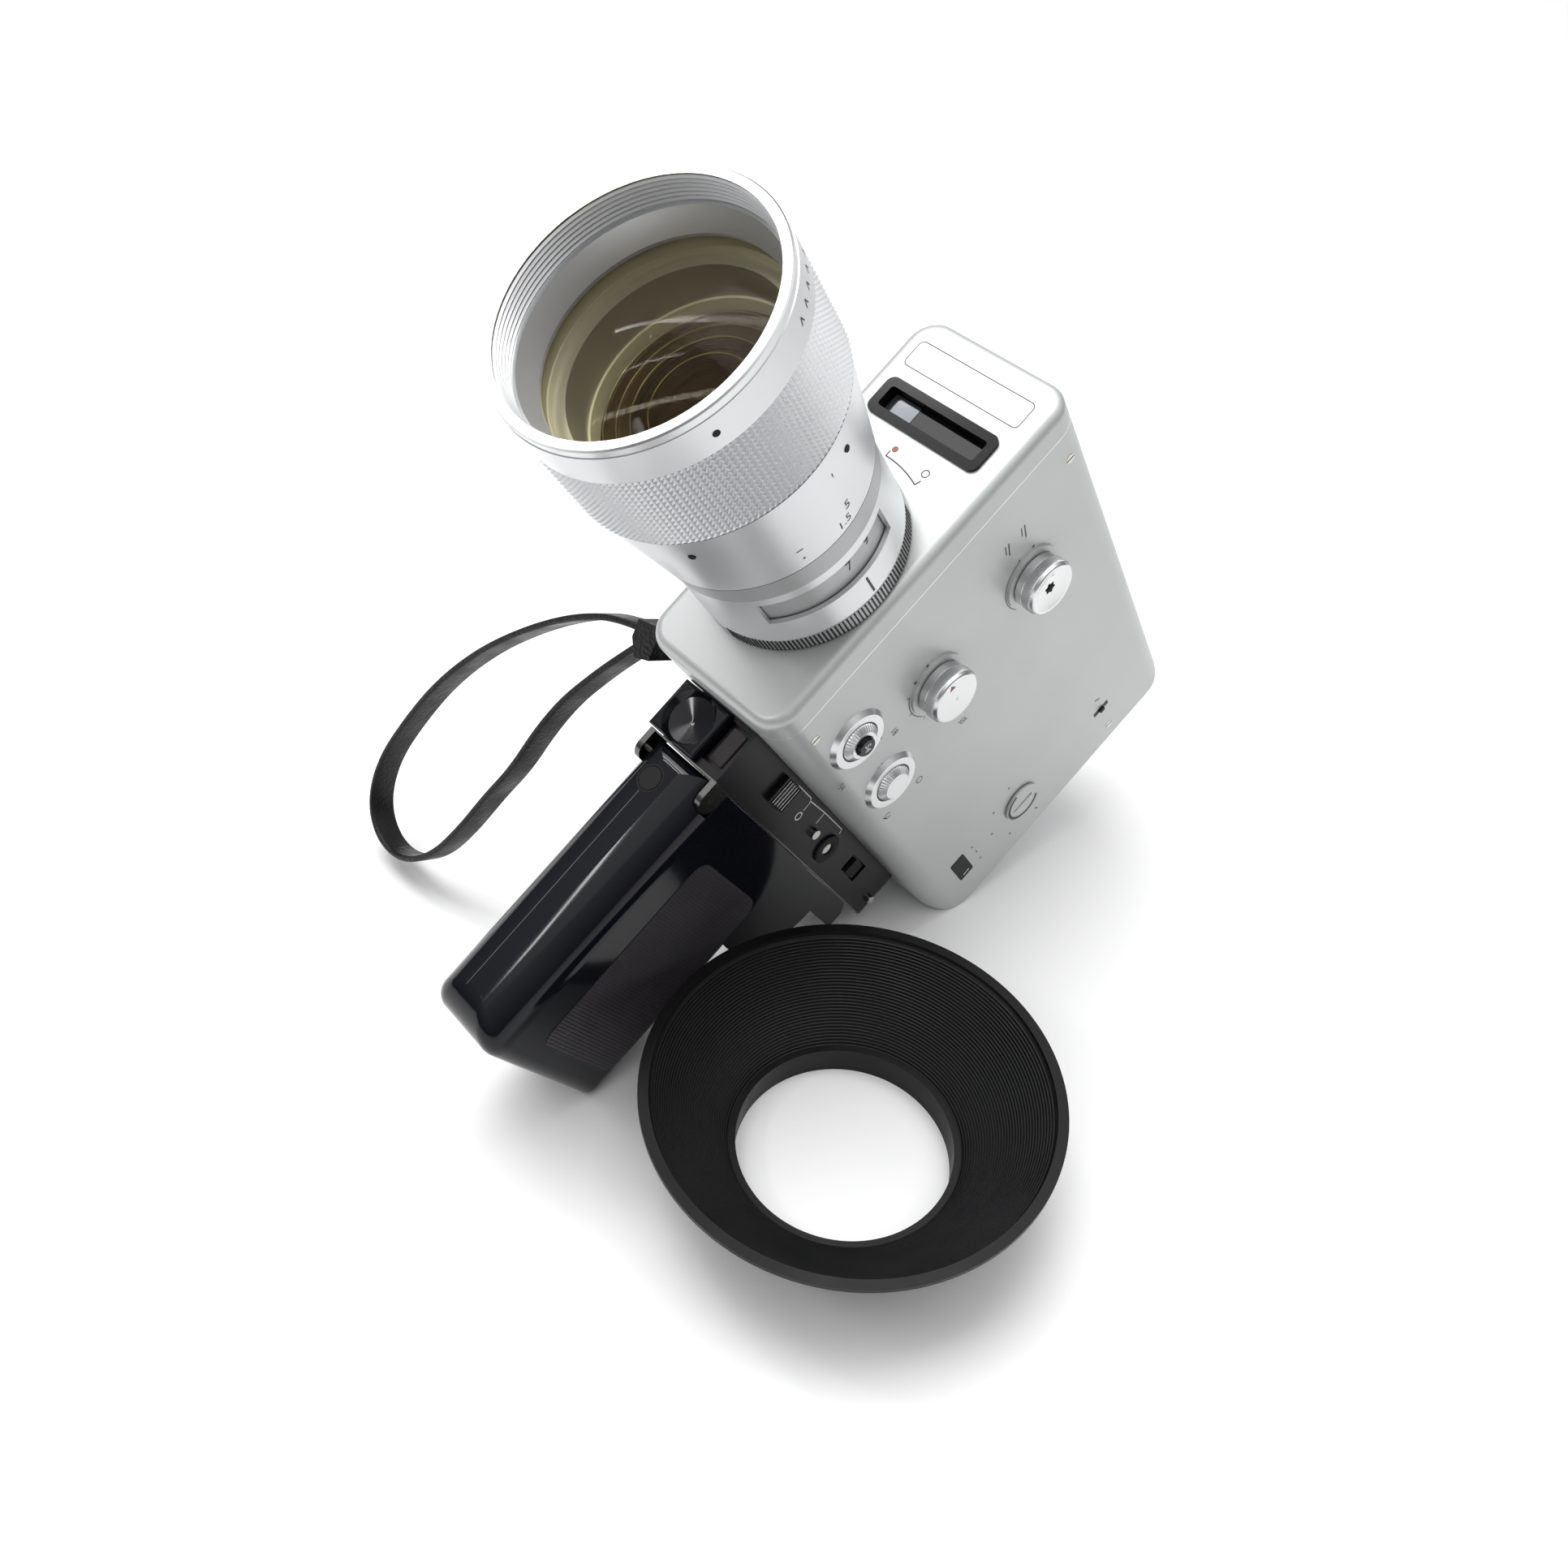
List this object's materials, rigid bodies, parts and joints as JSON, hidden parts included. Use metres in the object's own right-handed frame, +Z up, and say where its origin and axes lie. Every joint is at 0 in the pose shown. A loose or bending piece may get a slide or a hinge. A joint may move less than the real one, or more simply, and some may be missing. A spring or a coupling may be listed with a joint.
{
  "type": "cine camera",
  "caption": "Small-gauge cine camera with a conical zoom lens, a folding battery grip and a wrist strap, leaning on a table beside its lens hood.",
  "frame": {"origin": "bottom centre of the camera and its hood as they stand on the table, without the strap", "axes": "+Z up from the table, -Y the way the lens points, seen from above, +X the side with the knobs; the lens axis rises 56.2 degrees from level"},
  "size_m": [0.26, 0.266, 0.2607],
  "materials": {
    "silver_paint": "satin silver lacquer on a die-cast shell",
    "bright_plate": "fine satin anodised",
    "black_gloss": "polished black moulding",
    "black_matte": "matte black",
    "lens_aluminium": "turned and satin anodised",
    "ring_black": "black anodised, ribbed",
    "lens_glass": "amber coated",
    "window_glass": "tinted pane",
    "inner_steel": "bare",
    "chrome": "polished",
    "board": "circuit board",
    "brass": "turned",
    "cell": "labelled battery can",
    "rubber": "soft eyecup",
    "leather": "black strap leather",
    "hood_black": "satin black lacquer"
  },
  "bodies": {
    "casing": {"main_casing": "silver_paint", "front_cover": "silver_paint", "nameplate": "bright_plate", "window_bezel": "black_gloss", "windows": "window_glass", "film_door_pin": "inner_steel", "chassis_plate": "inner_steel", "film_gate": "black_matte", "drive_motor": "inner_steel", "circuit_board": "board", "finder_tube": "black_matte", "eyecup": "rubber", "knob_scales": "bright_plate", "dial_plates": "chrome", "casing_screws": "chrome", "lens_tube": "lens_aluminium", "scale_sleeve": "lens_aluminium", "index_band": "bright_plate", "second_lens": "lens_glass", "rear_lens": "lens_glass", "iris_plate": "black_matte", "trigger_block": "black_gloss", "sockets": "chrome", "grip_bracket": "chrome", "grip_hinge_pin": "inner_steel", "wrist_strap": "leather", "strap_tab": "leather"},
    "film_door": {"film_door": "silver_paint"},
    "shutter": {"shutter": "black_matte", "shutter_wheel": "brass"},
    "motor": {"motor_pinion": "brass"},
    "film_drive": {"film_spindle": "black_matte"},
    "diopter": {"diopter_ring": "black_matte"},
    "exposure_knob": {"exposure_knob": "lens_aluminium"},
    "aperture_knob": {"aperture_knob": "lens_aluminium"},
    "speed_dial": {"speed_dial": "lens_aluminium"},
    "speed_button": {"speed_button": "black_gloss"},
    "filter_dial": {"filter_dial": "lens_aluminium"},
    "counter_dial": {"counter_dial": "lens_aluminium"},
    "slot_slider": {"slot_slider": "black_matte"},
    "zoom": {"zoom_ring": "ring_black"},
    "focus": {"focus_barrel": "lens_aluminium", "focus_grip": "lens_aluminium", "name_ring": "lens_aluminium", "filter_ring": "lens_aluminium", "front_cell": "ring_black", "front_lens": "lens_glass", "lens_screws": "chrome"},
    "trigger": {"trigger": "black_gloss"},
    "slide_switch": {"slide_switch": "black_gloss"},
    "remote_switch": {"remote_switch": "black_matte"},
    "latch_button": {"latch_button": "chrome"},
    "grip": {"grip_shell_left": "black_gloss", "grip_shell_right": "black_gloss", "tripod_bush": "brass", "battery_cells": "cell", "battery_contacts": "brass"},
    "battery_cover": {"battery_cover": "black_gloss"},
    "release_button": {"release_button": "black_matte"},
    "hood": {"lens_hood": "hood_black"}
  },
  "joints": [
    {"name": "film_door_hinge", "type": "hinge", "parent": "casing", "child": "film_door", "pos_m": [-0.07235, 0.00433, 0.14575], "axis": [0, 0.8313, 0.5558], "range_deg": [0, 92]},
    {"name": "shutter_turn", "type": "hinge", "parent": "casing", "child": "shutter", "pos_m": [-0.04755, -0.00925, 0.11478], "axis": [0, -0.5558, 0.8313], "continuous": true},
    {"name": "motor_turn", "type": "hinge", "parent": "casing", "child": "motor", "pos_m": [-0.03145, -0.00425, 0.1073], "axis": [0, -0.5558, 0.8313], "continuous": true},
    {"name": "film_drive_turn", "type": "hinge", "parent": "casing", "child": "film_drive", "pos_m": [-0.04895, 0.05137, 0.09877], "axis": [1, 0, 0], "continuous": true},
    {"name": "diopter_turn", "type": "hinge", "parent": "casing", "child": "diopter", "pos_m": [-0.03945, 0.11656, 0.04372], "axis": [0, -0.5558, 0.8313], "range_deg": [-60, 60]},
    {"name": "exposure_turn", "type": "hinge", "parent": "casing", "child": "exposure_knob", "pos_m": [-0.02035, 0.04435, 0.14039], "axis": [1, 0, 0], "range_deg": [-135, 135]},
    {"name": "aperture_turn", "type": "hinge", "parent": "casing", "child": "aperture_knob", "pos_m": [-0.02035, 0.01044, 0.11772], "axis": [1, 0, 0], "range_deg": [-150, 150]},
    {"name": "speed_turn", "type": "hinge", "parent": "casing", "child": "speed_dial", "pos_m": [-0.02035, -0.0199, 0.11307], "axis": [1, 0, 0], "range_deg": [-60, 60]},
    {"name": "speed_button_press", "type": "slide", "parent": "casing", "child": "speed_button", "axis": [-1, 0, 0], "range_m": [0, 0.0015], "stiffness_N_per_m": 400, "springref_m": -0.001},
    {"name": "filter_turn", "type": "hinge", "parent": "casing", "child": "filter_dial", "pos_m": [-0.02035, -0.00312, 0.08797], "axis": [1, 0, 0], "range_deg": [-90, 90]},
    {"name": "counter_turn", "type": "hinge", "parent": "casing", "child": "counter_dial", "pos_m": [-0.02035, 0.0667, 0.03805], "axis": [1, 0, 0], "range_deg": [0, 180]},
    {"name": "slot_slide", "type": "slide", "parent": "casing", "child": "slot_slider", "axis": [0, 0.8313, 0.5558], "range_m": [-0.0022, 0.0022]},
    {"name": "zoom_turn", "type": "hinge", "parent": "casing", "child": "zoom", "pos_m": [-0.05195, -0.02416, 0.16857], "axis": [0, -0.5558, 0.8313], "range_deg": [-10, 80]},
    {"name": "focus_turn", "type": "hinge", "parent": "casing", "child": "focus", "pos_m": [-0.05195, -0.05751, 0.21845], "axis": [0, -0.5558, 0.8313], "range_deg": [-90, 180]},
    {"name": "trigger_pull", "type": "slide", "parent": "casing", "child": "trigger", "axis": [0, 0.5558, -0.8313], "range_m": [0, 0.004], "stiffness_N_per_m": 400, "springref_m": -0.001},
    {"name": "slide_switch_move", "type": "slide", "parent": "casing", "child": "slide_switch", "axis": [0, -0.5558, 0.8313], "range_m": [-0.003, 0.003]},
    {"name": "remote_switch_move", "type": "slide", "parent": "casing", "child": "remote_switch", "axis": [0, -0.5558, 0.8313], "range_m": [-0.0022, 0.0022]},
    {"name": "latch_press", "type": "slide", "parent": "casing", "child": "latch_button", "axis": [-1, 0, 0], "range_m": [0, 0.0012], "stiffness_N_per_m": 400, "springref_m": -0.001},
    {"name": "grip_fold", "type": "hinge", "parent": "casing", "child": "grip", "pos_m": [-0.04885, -0.0593, 0.10129], "axis": [-1, 0, 0], "range_deg": [0, 90]},
    {"name": "battery_cover_hinge", "type": "hinge", "parent": "grip", "child": "battery_cover", "pos_m": [-0.06065, -0.06881, 0.03383], "axis": [0, -0.8313, -0.5558], "range_deg": [0, 95]},
    {"name": "release_press", "type": "slide", "parent": "grip", "child": "release_button", "axis": [0, 0.5558, -0.8313], "range_m": [0, 0.001], "stiffness_N_per_m": 400, "springref_m": -0.001},
    {"name": "hood_lift", "type": "slide", "parent": "casing", "child": "hood", "axis": [0, 0, 1], "range_m": [0, 0.03]}
  ],
  "couplings": [
    {"joint": "motor_turn", "follows": "shutter_turn", "ratio": -1.6667},
    {"joint": "film_drive_turn", "follows": "shutter_turn", "ratio": 0.045}
  ]
}
